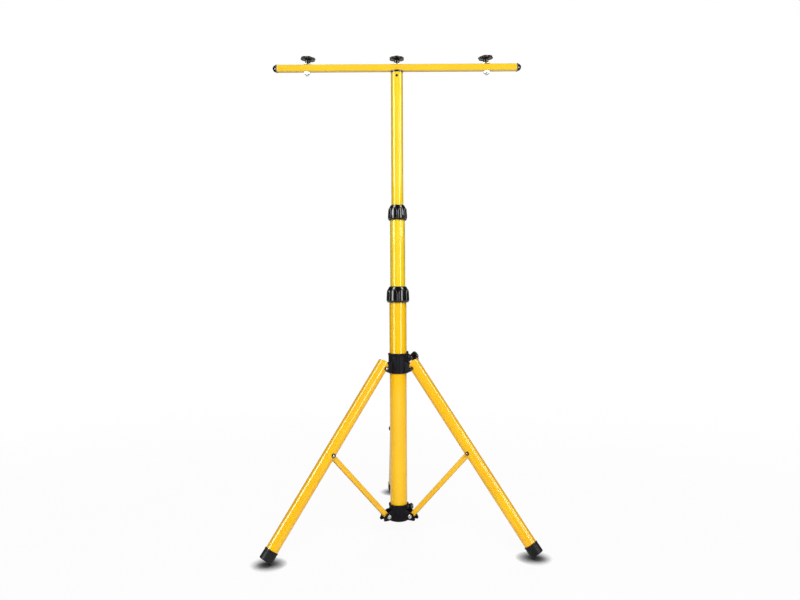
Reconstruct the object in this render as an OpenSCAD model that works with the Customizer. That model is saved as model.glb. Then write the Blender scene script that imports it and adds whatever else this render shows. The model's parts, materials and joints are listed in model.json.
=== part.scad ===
/* [Mast] */
// Diameter of the outer mast tube
outer_d = 40; // [39:0.5:41]
// Diameter of the middle mast tube
middle_d = 35; // [34.5:0.5:35]
// Diameter of the top mast tube
top_d = 28; // [27:0.5:28.5]
// Wall of every mast tube
tube_wall = 1.5; // [1.2:0.1:1.8]
// Height of the outer tube's lower end above the floor
outer_z0 = 37; // [35:1:40]
// Height of the outer tube's upper end
outer_z1 = 565; // [562:1:567]
// Height of the middle tube's lower end
middle_z0 = 235; // [200:1:300]
// Height of the middle tube's upper end
middle_z1 = 758; // [756:1:760]
// Height of the top tube's lower end
top_z0 = 562; // [540:1:600]

/* [Crossbar] */
// Width and height of the square crossbar tube
bar_w = 15; // [14:0.5:16]
// Length of the crossbar tube without its caps
bar_l = 562; // [520:1:600]
// Wall of the crossbar tube
bar_wall = 1.5; // [1.2:0.1:2]
// Height of the crossbar's underside
bar_z = 1089; // [1080:1:1095]
// Distance from the mast to each lamp stud
station_x = 209.5; // [180:1:230]
// Lean of the outer studs towards the mast, in degrees
stud_lean = 4; // [0:0.5:4]
// Diameter of the stud holes in the bar
stud_hole_d = 9.8; // [9.6:0.1:10]
// How far an end cap stands out of the bar
cap_l = 10; // [9:0.5:11]
// Diameter of the cable eye in an end cap
eye_d = 3.6; // [3.2:0.2:4.4]

/* [Fasteners] */
// Thread diameter of the studs
stud_d = 8; // [8:8]
// Diameter of the three crossbar knobs
knob_d = 36; // [34:1:36]
// Diameter of the leg clamp knob
clamp_knob_d = 28; // [26:1:30]
// Shank diameter of the pivot bolts
bolt_d = 6; // [5:0.5:6]

/* [Legs] */
// Turn of the leg set about the mast, in degrees
leg_yaw = 3; // [0:1:10]
// Radius of the leg pivots from the mast axis
pivot_r = 42; // [41:0.5:43]
// Height of the leg pivots
pivot_z = 394.7; // [390:0.1:400]
// Radius of the strut pivots from the mast axis
base_r = 34.3; // [34:0.1:35]
// Height of the strut pivots
base_z = 48.5; // [48:0.1:50]
// Angle of the legs from the vertical
leg_angle = 36.42; // [36:0.02:37]
// Outside diameter of the rolled leg profile
leg_d = 28; // [27:0.5:29]
// Wall of the leg profile
leg_wall = 1.5; // [1.2:0.1:1.6]
// Width of the slot along the leg
leg_slot = 16; // [15.5:0.5:17]
// Distance of the leg's axis outside its pivot
leg_offset = 5; // [4.8:0.1:5.5]
// Distance along the leg from its pivot to the strut joint
joint_l = 228.4; // [222:0.1:235]
// Distance of the strut joint inside the leg's axis
joint_in = 3; // [2.5:0.1:3.2]
// Diameter of a foot cap
foot_d = 31; // [30:0.5:32]
// Length of a foot cap
foot_l = 24; // [20:1:28]

/* [Struts] */
// Width of a strut
strut_w = 13; // [12:0.5:13.5]
// Depth of a strut
strut_d = 11; // [10:0.5:11.5]
// Wall of a strut
strut_wall = 1.5; // [1.2:0.1:1.8]

/* [Hidden] */
$fn = 48;

yellow = "gold";
black = "dimgray";
steel = "silver";

// Clearances
run_gap = 0.05;
free_gap = 0.5;
cut = 1;

// Mast derived sizes
outer_r = outer_d / 2;
middle_r = middle_d / 2;
top_r = top_d / 2;
outer_in = outer_r - tube_wall;
middle_in = middle_r - tube_wall;
top_in = top_r - tube_wall;
plug_flange = 4.5;
plug_z = bar_z - plug_flange;
top_z1 = plug_z;

// Twist locks: bottom and top of the turning nut, and of what it grips
lower_z0 = 547.2;
lower_z1 = 584.7;
upper_z0 = 740.3;
upper_z1 = 775.6;
// Radii of each nut: at the bottom, at the shoulder and at the top
lower_nut_r = [27, 26, 20.8];
upper_nut_r = [22.8, 21.6, 16.8];
scallop_r = 1.7;
sleeve_wall = 3.2;
upper_sleeve_wall = 2.6;
sleeve_lip = 5;
sleeve_rise = 2;
collet_h = 7;
collet_tip = 1.1;
collet_slit = 2;
nut_shoulder = 9;
scallops = 8;

// Collars
collar_wall = 3;
collar_r = outer_r + collar_wall;
collar_z0 = 381;
collar_z1 = 427.7;
lug_w = 15;
lug_r = 8;
clamp_az = 30 + leg_yaw;
clamp_z = 415;
boss_r = 10;
boss_end = 32;
lug_rise = 14;
ear_w = 12;
ear_z = 432;
insert_r = 6.5;
insert_h = 4;
insert_depth = 2;
shoe_r = 6.4;
shoe_h = 2.6;
clamp_stud_l = 26;
clamp_gap = 4;
base_collar_z0 = 34.3;
base_collar_z1 = 72.5;
fork_in = 15;
fork_out = 21;
fork_r = 7;
web_h = 13;
toe = 13;
toe_h = 4;
toe_drop = 9.5;
screw_z = 59;
screw_gap = 7;
screw_r = 2.5;
screw_boss_r = 7;
screw_head_h = 8;
base_plug_bore = 8;
base_plug_depth = 14;

// Plugs and guides inside the tubes
guide_h = 24;
guide_foot = 6;
guide_step = 3;
plug_depth = 26;
plug_bore = 6;
plug_screw_r = 2;
plug_screw_drop = 9;

// Legs and struts
LEGS = [210 + leg_yaw, 330 + leg_yaw, 90 + leg_yaw];
joint_x = leg_offset - joint_in;
joint_r = pivot_r + joint_l * sin(leg_angle) + joint_x * cos(leg_angle);
joint_z = pivot_z - joint_l * cos(leg_angle) + joint_x * sin(leg_angle);
strut_l = norm([joint_r - base_r, joint_z - base_z]);
strut_angle = atan2(joint_r - base_r, joint_z - base_z);
// The cap's inner edge touches the floor
leg_l = (pivot_z + (leg_offset - foot_d / 2) * sin(leg_angle)) / cos(leg_angle);
leg_top = 14;
nose_r = 8.8;
foot_floor = 4;
bolt_head_d = 10;
bolt_head_h = 3;
bolt_nut_af = 9.2;
// Heads sit just clear of the round leg; joint stubs end just inside its wall
head_y = leg_d / 2 + 0.3;
stub_y = sqrt(pow(leg_d / 2, 2) - pow(joint_in, 2)) - leg_wall - 0.6;

// Studs and knobs
stud_r = stud_d / 2;
washer_r = 9;
washer_h = 1.5;
nut_af = 13;
nut_h = 5;
stud_below = 9.5;
stud_above = 13;
hub_h = 9;
rim_h = 6;
knob_turn = 15;
lean_lift = washer_r * sin(stud_lean);
nut_drop = nut_af / sqrt(3) * sin(stud_lean);

// A ring between two heights
module ring(r_out, r_in, z0, z1) {
    translate([0, 0, z0]) linear_extrude(z1 - z0) difference() {
        circle(r_out);
        circle(r_in);
    }
}

// Hexagonal prism measured across its flats
module hexagon(across, h) {
    cylinder(h = h, r = across / sqrt(3), $fn = 6);
}

// Places a piece at each leg's azimuth
module at_legs() {
    for (az = LEGS) rotate([0, 0, az]) children();
}

// Threaded-in stud of a crossbar station, leaning towards the mast
module at_station(x) {
    lean = x == 0 ? 0 : -sign(x) * stud_lean;
    translate([x, 0, bar_z + bar_w / 2]) rotate([0, lean, 0]) children();
}

// Clamp axis of the leg collar: +Z points out of the collar
module at_clamp(z) {
    rotate([0, 0, clamp_az]) translate([0, 0, z]) rotate([0, 90, 0]) children();
}

// Knob with six lobes, its hub below and a blind bore for the stud
module star_knob(d, hub_d, hub, rim, bore_depth) {
    lobe_r = d * 0.13;
    difference() {
        union() {
            cylinder(h = hub + 1, d1 = hub_d * 0.86, d2 = hub_d);
            translate([0, 0, hub]) difference() {
                cylinder(h = rim, d = d);
                for (a = [0 : 60 : 300]) rotate([0, 0, a + 30]) translate([d / 2 + lobe_r * 0.45, 0, -cut])
                    cylinder(h = rim + 2 * cut, r = lobe_r);
            }
        }
        translate([0, 0, -cut]) cylinder(h = bore_depth + cut, r = stud_r + run_gap);
    }
}

/* Mast, fixed part */
module outer_tube() {
    color(yellow) ring(outer_r, outer_in, outer_z0, outer_z1);
}

module base_plug() {
    color(black) union() {
        ring(outer_in, base_plug_bore, outer_z0, outer_z0 + base_plug_depth);
        ring(outer_r, base_plug_bore, base_collar_z0, outer_z0);
    }
}

module base_collar() {
    color(black) difference() {
        union() {
            ring(collar_r, outer_r, base_collar_z0, base_collar_z1);
            at_clamp(screw_z) cylinder(h = collar_r + 2, r = screw_boss_r);
            at_legs() translate([0, 0, base_z]) rotate([90, 0, 0])
                translate([0, 0, -fork_out / 2]) linear_extrude(fork_out) union() {
                    translate([base_r, 0]) circle(fork_r);
                    polygon([
                        [collar_r - 3, -toe_drop], [base_r + toe - 2, -toe_drop],
                        [base_r + toe, toe_h - toe_drop], [base_r + fork_r, fork_r - cut],
                        [base_r - fork_r, web_h], [collar_r - 3, web_h]
                    ]);
                }
        }
        translate([0, 0, base_collar_z0 - cut])
            cylinder(h = base_collar_z1 - base_collar_z0 + 2 * cut, r = outer_r);
        at_legs() translate([collar_r + 0.5, -fork_in / 2, base_z - web_h])
            cube([base_r, fork_in, 3 * web_h]);
        at_legs() translate([base_r, 0, base_z]) rotate([90, 0, 0])
            cylinder(h = fork_out + 2 * cut, r = bolt_d / 2, center = true);
        at_clamp(screw_z) cylinder(h = collar_r + screw_boss_r, r = screw_r);
    }
}

module base_screw() {
    color(black) at_clamp(screw_z) union() {
        translate([0, 0, outer_r]) cylinder(h = 2 * screw_head_h, r = screw_r);
        translate([0, 0, collar_r + screw_gap])
            cylinder(h = screw_head_h, r1 = screw_boss_r - 1, r2 = screw_boss_r + 0.2);
    }
}

module strut_base_bolts() {
    color(steel) at_legs() translate([base_r, 0, base_z]) rotate([90, 0, 0]) union() {
        cylinder(h = fork_out + 6, r = bolt_d / 2, center = true);
        translate([0, 0, fork_out / 2]) cylinder(h = bolt_head_h, d1 = bolt_head_d, d2 = bolt_head_d - 2);
    }
}

module strut_base_nuts() {
    color(steel) at_legs() translate([base_r, 0, base_z]) rotate([-90, 0, 0])
        translate([0, 0, fork_out / 2]) difference() {
            hexagon(bolt_nut_af, bolt_head_h);
            translate([0, 0, -cut]) cylinder(h = bolt_head_h + 2 * cut, r = bolt_d / 2);
        }
}

/* Twist locks */
// Fixed sleeve on a tube's upper end; its lip guides the tube inside
module lock_sleeve(tube_r, wall, inner_r, z0, tube_end) {
    color(black) union() {
        ring(tube_r + wall, tube_r, z0, tube_end);
        ring(tube_r + wall, inner_r + run_gap, tube_end, tube_end + sleeve_lip);
    }
}

// Split cone that closes on the inner tube
module lock_collet(inner_r, z0, r0) {
    color("gray") difference() {
        translate([0, 0, z0]) cylinder(h = collet_h, r1 = r0, r2 = inner_r + collet_tip);
        translate([0, 0, z0 - cut]) cylinder(h = collet_h + 2 * cut, r = inner_r + run_gap);
        for (a = [0 : 60 : 120]) rotate([0, 0, a])
            translate([-outer_d, -collet_slit / 2, z0 + sleeve_rise])
                cube([2 * outer_d, collet_slit, collet_h]);
    }
}

// Twist ring: cylinder with scallops, cone on top; radii at bottom, shoulder and top
module lock_nut(radii, hole_r, bore_r, z0, z1, lip_z, cone_r) {
    shoulder_z = z1 - nut_shoulder;
    roof_z = z1 - 2.5;
    color(black) difference() {
        rotate_extrude() polygon([
            [bore_r, z0], [radii[0] - 2.5, z0], [radii[0] - 0.7, z0 + 1], [radii[0], z0 + 3],
            [radii[1], shoulder_z], [radii[2] + 1, z1 - 0.8], [radii[2], z1], [hole_r, z1],
            [hole_r, roof_z], [cone_r, lip_z], [bore_r, lip_z]
        ]);
        for (i = [0 : scallops - 1]) rotate([0, 0, i * 360 / scallops])
            translate([radii[0] + 0.2, 0, z0 - cut]) cylinder(h = shoulder_z - z0 - cut, r = scallop_r);
    }
}

module lower_lock_sleeve() {
    lock_sleeve(outer_r, sleeve_wall, middle_r, lower_z0 + sleeve_rise, outer_z1);
}

module lower_lock_collet() {
    lock_collet(middle_r, outer_z1 + sleeve_lip, outer_r + 1);
}

module lower_lock_nut() {
    bore = outer_r + sleeve_wall + run_gap;
    lip_z = outer_z1 + sleeve_lip + free_gap;
    lock_nut(lower_nut_r, middle_r + free_gap, bore, lower_z0, lower_z1, lip_z, outer_r + 2);
}

module upper_lock_sleeve() {
    lock_sleeve(middle_r, upper_sleeve_wall, top_r, upper_z0 + sleeve_rise, middle_z1);
}

module upper_lock_collet() {
    lock_collet(top_r, middle_z1 + sleeve_lip, middle_r - 0.8);
}

module upper_lock_nut() {
    bore = middle_r + upper_sleeve_wall + run_gap;
    lip_z = middle_z1 + sleeve_lip + free_gap;
    lock_nut(upper_nut_r, top_r + free_gap, bore, upper_z0, upper_z1, lip_z, middle_r);
}

/* Middle section */
module middle_tube() {
    color(yellow) ring(middle_r, middle_in, middle_z0, middle_z1);
}

module middle_guide() {
    color(black) union() {
        ring(outer_in - run_gap, middle_r - guide_step, middle_z0 - guide_foot, middle_z0);
        ring(outer_in - run_gap, middle_r, middle_z0, middle_z0 + guide_h);
    }
}

/* Top section */
module top_tube() {
    color(yellow) difference() {
        ring(top_r, top_in, top_z0, top_z1);
        translate([0, 0, top_z1 - plug_screw_drop]) rotate([90, 0, 0])
            cylinder(h = top_d, r = plug_screw_r);
    }
}

module top_guide() {
    color(black) union() {
        ring(middle_in - run_gap, top_r - guide_step, top_z0 - guide_foot, top_z0);
        ring(middle_in - run_gap, top_r, top_z0, top_z0 + guide_h);
    }
}

module top_plug() {
    color(black) difference() {
        union() {
            translate([0, 0, plug_z]) cylinder(h = plug_flange - run_gap, r = top_r + 0.4);
            translate([0, 0, plug_z - plug_depth]) cylinder(h = plug_depth, r = top_in);
        }
        translate([0, 0, plug_z - plug_depth - cut]) cylinder(h = plug_depth + cut, r = plug_bore);
        translate([0, 0, plug_z - cut]) cylinder(h = plug_flange + 2 * cut, r = stud_r + run_gap);
        translate([0, 0, top_z1 - plug_screw_drop]) rotate([90, 0, 0])
            cylinder(h = top_d, r = plug_screw_r);
    }
}

module plug_insert() {
    color(steel) ring(plug_bore, stud_r, plug_z - plug_depth + 6, plug_z - 6);
}

module plug_screw() {
    color(steel) translate([0, -top_r, top_z1 - plug_screw_drop]) rotate([90, 0, 0]) union() {
        translate([0, 0, -7]) cylinder(h = 7, r = plug_screw_r);
        translate([0, 0, -0.6]) cylinder(h = 2.2, r1 = plug_screw_r + 1.2, r2 = plug_screw_r + 0.2);
    }
}

/* Crossbar */
module crossbar_section(w, r) {
    offset_w = w / 2 - r;
    union() {
        square([w, w - 2 * r], center = true);
        square([w - 2 * r, w], center = true);
        for (sx = [-1, 1]) for (sy = [-1, 1]) translate([sx * offset_w, sy * offset_w]) circle(r);
    }
}

module crossbar_tube() {
    color(yellow) difference() {
        translate([-bar_l / 2, 0, bar_z + bar_w / 2]) rotate([90, 0, 90])
            linear_extrude(bar_l) difference() {
                crossbar_section(bar_w, 2);
                crossbar_section(bar_w - 2 * bar_wall, 0.5);
            }
        for (x = [-station_x, station_x]) translate([x, 0, bar_z - cut])
            cylinder(h = bar_w + 2 * cut, r = stud_hole_d / 2);
        translate([0, 0, bar_z - cut]) cylinder(h = bar_w + 2 * cut, r = stud_r + run_gap);
    }
}

// Cap with a spigot in the bar and a rounded tab outside, drilled for a cable tie
module end_cap(side) {
    tab_w = 6;
    shoulder = 2.5;
    spigot = 12;
    lip = 0.4;
    tab_r = bar_w / 2 + lip;
    color(black) scale([side, 1, 1]) translate([bar_l / 2, 0, bar_z + bar_w / 2]) difference() {
        union() {
            translate([-spigot, 0, 0]) rotate([90, 0, 90]) linear_extrude(spigot)
                crossbar_section(bar_w - 2 * bar_wall, 0.5);
            rotate([90, 0, 90]) linear_extrude(shoulder) crossbar_section(bar_w + 2 * lip, 2);
            rotate([90, 0, 0]) linear_extrude(tab_w, center = true) intersection() {
                translate([cap_l - tab_r, 0]) circle(tab_r);
                translate([0, -bar_w]) square([cap_l, 2 * bar_w]);
            }
        }
        translate([shoulder + eye_d / 2 + 0.6, 0, 0]) rotate([90, 0, 0])
            cylinder(h = bar_w, r = eye_d / 2, center = true);
    }
}

module station_nuts() {
    color(steel) for (x = [-station_x, station_x]) at_station(x)
        translate([0, 0, -bar_w / 2 - nut_drop - nut_h - 0.1]) difference() {
            hexagon(nut_af, nut_h);
            translate([0, 0, -cut]) cylinder(h = nut_h + 2 * cut, r = stud_r);
        }
}

module station_stud(x) {
    low = x == 0 ? bar_w / 2 + 24 : bar_w / 2 + stud_below;
    color(steel) at_station(x) translate([0, 0, -low])
        cylinder(h = low + bar_w / 2 + stud_above, r = stud_r);
}

module station_washer(x) {
    lift = x == 0 ? 0 : lean_lift;
    color(steel) at_station(x) translate([0, 0, bar_w / 2 + lift]) difference() {
        cylinder(h = washer_h, r = washer_r);
        translate([0, 0, -cut]) cylinder(h = washer_h + 2 * cut, r = stud_r + run_gap);
    }
}

module station_knob(x) {
    lift = x == 0 ? 0 : lean_lift;
    turn = x == 0 ? 2 * knob_turn : sign(x) * knob_turn;
    color(black) at_station(x) translate([0, 0, bar_w / 2 + lift + washer_h]) rotate([0, 0, turn])
        star_knob(knob_d, 13, hub_h, rim_h, stud_above - washer_h - lift + 0.5);
}

module stud_left() { station_stud(-station_x); }
module stud_centre() { station_stud(0); }
module stud_right() { station_stud(station_x); }
module washer_left() { station_washer(-station_x); }
module washer_centre() { station_washer(0); }
module washer_right() { station_washer(station_x); }
module knob_left() { station_knob(-station_x); }
module knob_centre() { station_knob(0); }
module knob_right() { station_knob(station_x); }
module end_cap_left() { end_cap(-1); }
module end_cap_right() { end_cap(1); }

/* Leg collar */
module leg_collar() {
    color(black) difference() {
        union() {
            ring(collar_r, outer_r + run_gap, collar_z0, collar_z1);
            at_legs() translate([0, lug_w / 2, 0]) rotate([90, 0, 0]) linear_extrude(lug_w) union() {
                translate([pivot_r, pivot_z]) circle(lug_r);
                polygon([
                    [collar_r - 2, collar_z0], [pivot_r - 4, pivot_z - lug_r + 1], [pivot_r, pivot_z],
                    [pivot_r - 2, pivot_z + lug_r - 0.5], [collar_r - 2, pivot_z + lug_rise]
                ]);
            }
            at_clamp(clamp_z) translate([0, 0, collar_r - 4])
                cylinder(h = boss_end - collar_r + 4, r = boss_r);
            rotate([0, 0, clamp_az]) translate([outer_r - cut, -ear_w / 2, clamp_z])
                cube([2 * collar_wall + cut, ear_w, ear_z - clamp_z]);
        }
        translate([0, 0, collar_z0 - cut])
            cylinder(h = ear_z - collar_z0 + 2 * cut, r = outer_r + run_gap);
        at_legs() translate([pivot_r, 0, pivot_z]) rotate([90, 0, 0])
            cylinder(h = lug_w + 2 * cut, r = bolt_d / 2 + run_gap, center = true);
        at_clamp(clamp_z) cylinder(h = boss_end - insert_depth, r = insert_r);
        at_clamp(clamp_z) cylinder(h = boss_end + cut, r = stud_r + 0.3);
    }
}

module collar_insert() {
    color(steel) at_clamp(clamp_z)
        ring(insert_r, stud_r + run_gap, boss_end - insert_depth - insert_h, boss_end - insert_depth);
}

// Shoe between the clamp stud and the tube
module clamp_shoe() {
    color("gray") difference() {
        at_clamp(clamp_z) translate([0, 0, outer_r - 1]) cylinder(h = shoe_h, r = shoe_r);
        translate([0, 0, clamp_z - 2 * shoe_r]) cylinder(h = 4 * shoe_r, r = outer_r + run_gap);
    }
}

module clamp_stud() {
    color(steel) at_clamp(clamp_z) translate([0, 0, outer_r + shoe_h - 1])
        cylinder(h = clamp_stud_l, r = stud_r);
}

module clamp_knob() {
    knob_z = boss_end + clamp_gap;
    color(black) at_clamp(clamp_z) translate([0, 0, knob_z])
        star_knob(clamp_knob_d, 12, 4, 11, outer_r + shoe_h - 1 + clamp_stud_l - knob_z);
}

module leg_pivot_bolts() {
    color(steel) at_legs() translate([pivot_r, 0, pivot_z]) rotate([90, 0, 0]) union() {
        cylinder(h = 2 * (head_y + bolt_head_h), r = bolt_d / 2, center = true);
        translate([0, 0, head_y]) cylinder(h = bolt_head_h, d1 = bolt_head_d, d2 = bolt_head_d - 2);
    }
}

module leg_pivot_nuts() {
    color(steel) at_legs() translate([pivot_r, 0, pivot_z]) rotate([-90, 0, 0])
        translate([0, 0, head_y]) difference() {
            hexagon(bolt_nut_af, bolt_head_h);
            translate([0, 0, -cut]) cylinder(h = bolt_head_h + 2 * cut, r = bolt_d / 2);
        }
}

/* Legs */
// Leg frame: origin at the pivot, -Z down the leg, +X away from the mast
module leg_frame(i) {
    rotate([0, 0, LEGS[i]]) translate([pivot_r, 0, pivot_z]) rotate([0, -leg_angle, 0]) children();
}

// Cuts the leg's upper end to a sloping flank and a rounded nose about the pivot
module leg_end_cutter() {
    corner = [9, leg_top + 1];
    nose_a = atan2(corner[1], corner[0]) + acos(nose_r / norm(corner));
    inside = nose_r - 0.3;
    far = 2 * leg_d;
    translate([0, leg_d, 0]) rotate([90, 0, 0]) linear_extrude(2 * leg_d) difference() {
        polygon([
            [-far, 0], [-far, far], [far, far], [far, leg_top - 8], corner,
            [inside * cos(nose_a), inside * sin(nose_a)], [0, 0]
        ]);
        circle(nose_r);
    }
}

module leg(i) {
    color(yellow) leg_frame(i) difference() {
        translate([leg_offset, 0, -leg_l + foot_floor])
            linear_extrude(leg_l - foot_floor + leg_top + 4) difference() {
                circle(leg_d / 2);
                circle(leg_d / 2 - leg_wall);
                translate([-leg_d, -leg_slot / 2]) square([leg_d, leg_slot]);
            }
        leg_end_cutter();
        rotate([90, 0, 0]) cylinder(h = 2 * leg_d, r = bolt_d / 2 + run_gap, center = true);
        translate([joint_x, 0, -joint_l]) rotate([90, 0, 0])
            cylinder(h = 2 * leg_d, r = bolt_d / 2, center = true);
    }
}

module foot(i) {
    color(black) leg_frame(i) translate([leg_offset, 0, -leg_l]) difference() {
        cylinder(h = foot_l, r = foot_d / 2);
        translate([0, 0, foot_floor]) difference() {
            cylinder(h = foot_l, r = leg_d / 2);
            translate([0, 0, -cut]) cylinder(h = foot_l, r = leg_d / 2 - leg_wall - 0.2);
            translate([-leg_d, -leg_slot / 2, -cut]) cube([leg_d, leg_slot, foot_l - foot_floor + cut]);
        }
    }
}

// Bolt and nut end outside and inside the leg's wall and leave its channel free
module joint_bolt(i) {
    color(steel) leg_frame(i) translate([joint_x, 0, -joint_l]) rotate([90, 0, 0]) union() {
        translate([0, 0, stub_y]) cylinder(h = head_y - stub_y, r = bolt_d / 2);
        translate([0, 0, head_y]) cylinder(h = bolt_head_h, d1 = bolt_head_d, d2 = bolt_head_d - 2);
    }
}

module joint_nut(i) {
    color(steel) leg_frame(i) translate([joint_x, 0, -joint_l]) rotate([-90, 0, 0]) union() {
        translate([0, 0, stub_y]) cylinder(h = head_y - stub_y + bolt_head_h + 1, r = bolt_d / 2);
        translate([0, 0, head_y]) hexagon(bolt_nut_af, bolt_head_h);
    }
}

/* Struts */
// Strut frame: origin at the base pivot, +Z up the strut, -X on its upper side
module strut_frame(i) {
    rotate([0, 0, LEGS[i]]) translate([base_r, 0, base_z]) rotate([0, strut_angle, 0]) children();
}

module strut(i) {
    half = strut_d / 2;
    color(yellow) strut_frame(i) difference() {
        intersection() {
            translate([0, strut_w, 0]) rotate([90, 0, 0]) linear_extrude(2 * strut_w) union() {
                circle(half);
                translate([-half, 0]) square([strut_d, strut_l]);
                translate([0, strut_l]) circle(half);
            }
            translate([0, 0, -2 * half]) linear_extrude(strut_l + 4 * half) difference() {
                union() {
                    translate([-half + 2, -strut_w / 2]) square([strut_d - 2, strut_w]);
                    translate([-half, -strut_w / 2 + 2]) square([2, strut_w - 4]);
                    for (s = [-1, 1]) translate([-half + 2, s * (strut_w / 2 - 2)]) circle(2);
                }
                translate([-half + strut_wall, -strut_w / 2 + strut_wall])
                    square([strut_d, strut_w - 2 * strut_wall]);
            }
        }
        rotate([90, 0, 0]) cylinder(h = 2 * strut_w, r = bolt_d / 2 + run_gap, center = true);
        translate([0, 0, strut_l]) rotate([90, 0, 0])
            cylinder(h = 2 * strut_w, r = bolt_d / 2, center = true);
    }
}

module strut_bush(i) {
    color("gray") strut_frame(i) translate([0, 0, strut_l]) rotate([90, 0, 0]) difference() {
        cylinder(h = strut_w - 2 * strut_wall, r = strut_d / 2 - strut_wall, center = true);
        cylinder(h = strut_w, r = bolt_d / 2, center = true);
    }
}

outer_tube();
base_collar();
base_screw();
base_plug();
strut_base_bolts();
strut_base_nuts();
lower_lock_sleeve();
lower_lock_collet();
lower_lock_nut();
middle_tube();
middle_guide();
upper_lock_sleeve();
upper_lock_collet();
upper_lock_nut();
top_tube();
top_guide();
top_plug();
plug_insert();
plug_screw();
crossbar_tube();
end_cap_left();
end_cap_right();
station_nuts();
stud_left();
stud_centre();
stud_right();
washer_left();
washer_centre();
washer_right();
knob_left();
knob_centre();
knob_right();
leg_collar();
collar_insert();
leg_pivot_bolts();
leg_pivot_nuts();
clamp_shoe();
clamp_stud();
clamp_knob();
leg(0);  // leg_left
leg(1);  // leg_right
leg(2);  // leg_rear
foot(0);  // foot_left
foot(1);  // foot_right
foot(2);  // foot_rear
joint_bolt(0);  // joint_bolt_left
joint_bolt(1);  // joint_bolt_right
joint_bolt(2);  // joint_bolt_rear
joint_nut(0);  // joint_nut_left
joint_nut(1);  // joint_nut_right
joint_nut(2);  // joint_nut_rear
strut(0);  // strut_left
strut(1);  // strut_right
strut(2);  // strut_rear
strut_bush(0);  // strut_bush_left
strut_bush(1);  // strut_bush_right
strut_bush(2);  // strut_bush_rear
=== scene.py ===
import json
import math

import bmesh
import bpy
from mathutils import Matrix, Vector


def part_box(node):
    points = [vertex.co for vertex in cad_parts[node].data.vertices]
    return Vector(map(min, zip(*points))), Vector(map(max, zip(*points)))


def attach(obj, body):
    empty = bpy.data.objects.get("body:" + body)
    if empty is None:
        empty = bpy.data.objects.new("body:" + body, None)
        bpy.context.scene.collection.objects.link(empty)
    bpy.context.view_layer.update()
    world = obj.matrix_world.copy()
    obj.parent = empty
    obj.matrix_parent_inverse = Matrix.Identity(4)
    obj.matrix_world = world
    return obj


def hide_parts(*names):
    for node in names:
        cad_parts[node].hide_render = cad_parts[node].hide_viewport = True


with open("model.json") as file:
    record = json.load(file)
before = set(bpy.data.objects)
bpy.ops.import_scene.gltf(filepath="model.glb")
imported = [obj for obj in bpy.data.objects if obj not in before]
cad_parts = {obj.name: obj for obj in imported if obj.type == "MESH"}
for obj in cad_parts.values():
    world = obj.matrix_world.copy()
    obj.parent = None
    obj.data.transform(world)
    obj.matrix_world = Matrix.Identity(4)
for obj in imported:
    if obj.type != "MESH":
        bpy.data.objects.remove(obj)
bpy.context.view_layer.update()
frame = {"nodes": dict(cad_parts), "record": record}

MM = 0.001
SIDES = ("left", "right", "rear")
STATIONS = ("left", "centre", "right")
JOINTS = {joint["name"]: joint for joint in frame["record"]["behaviour"]["joints"]}


# ---------------------------------------------------------------- places from the frame
def span(node, axis=2):
    """Lowest and highest coordinate of a CAD node along one axis."""
    low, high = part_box(node)
    return low[axis], high[axis]


def across(node):
    """Largest radius of a round CAD node about the mast."""
    low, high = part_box(node)
    return max(-low[0], high[0], -low[1], high[1])


def place(origin, axis, toward=(0, 0, 1)):
    """Matrix with local +Z along axis and local +X as near as it can be to toward."""
    z = Vector(axis).normalized()
    x = Vector(toward) - z * Vector(toward).dot(z)
    if x.length < 1e-6:
        x = Vector((1, 0, 0)) - z * z[0]
    x.normalize()
    y = z.cross(x)
    turn = Matrix((x, y, z)).transposed().to_4x4()
    return Matrix.Translation(Vector(origin)) @ turn


MAST = Matrix.Identity(4)
OUTER_R = across("outer_tube")
MIDDLE_R = across("middle_tube")
TOP_R = across("top_tube")
WALL = 1.5 * MM
BAR_Z0, BAR_Z1 = span("crossbar_tube")
BAR_W = BAR_Z1 - BAR_Z0
BAR_L = 2 * span("crossbar_tube", 0)[1]
WASHER_R = 9 * MM
VOXEL = 0.75 * MM
LEG_R = 14 * MM
LEG_WALL = 1.5 * MM
LEG_SLOT = 16 * MM
LEG_OFFSET = 5 * MM
LEG_ANGLE = math.radians(36.42)
JOINT_L = 228.4 * MM
JOINT_X = 2 * MM
FOOT_R = 15.5 * MM
FOOT_L = 24 * MM
FOOT_GROOVE = 4 * MM
LUG_W = 15 * MM
LUG_R = 8 * MM
FORK_IN = 15 * MM
FORK_OUT = 21 * MM
FORK_R = 7 * MM
STRUT_W = 13 * MM
STRUT_D = 11 * MM
PITCH = 1.25 * MM
KNOB_TURN = {"left": -15, "centre": 30, "right": 15}


def leg_azimuth(side):
    """Direction from the mast to a leg, and the leg's pivot."""
    pivot = Vector(JOINTS[side + "_leg_fold"]["pos_m"])
    return math.atan2(pivot.y, pivot.x), pivot


def leg_frame(side):
    """Local +Z points up the leg, +X away from the mast, origin at the pivot."""
    azimuth, pivot = leg_azimuth(side)
    return Matrix.Translation(pivot) @ Matrix.Rotation(azimuth, 4,
                                                       "Z") @ Matrix.Rotation(-LEG_ANGLE, 4, "Y")


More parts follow.
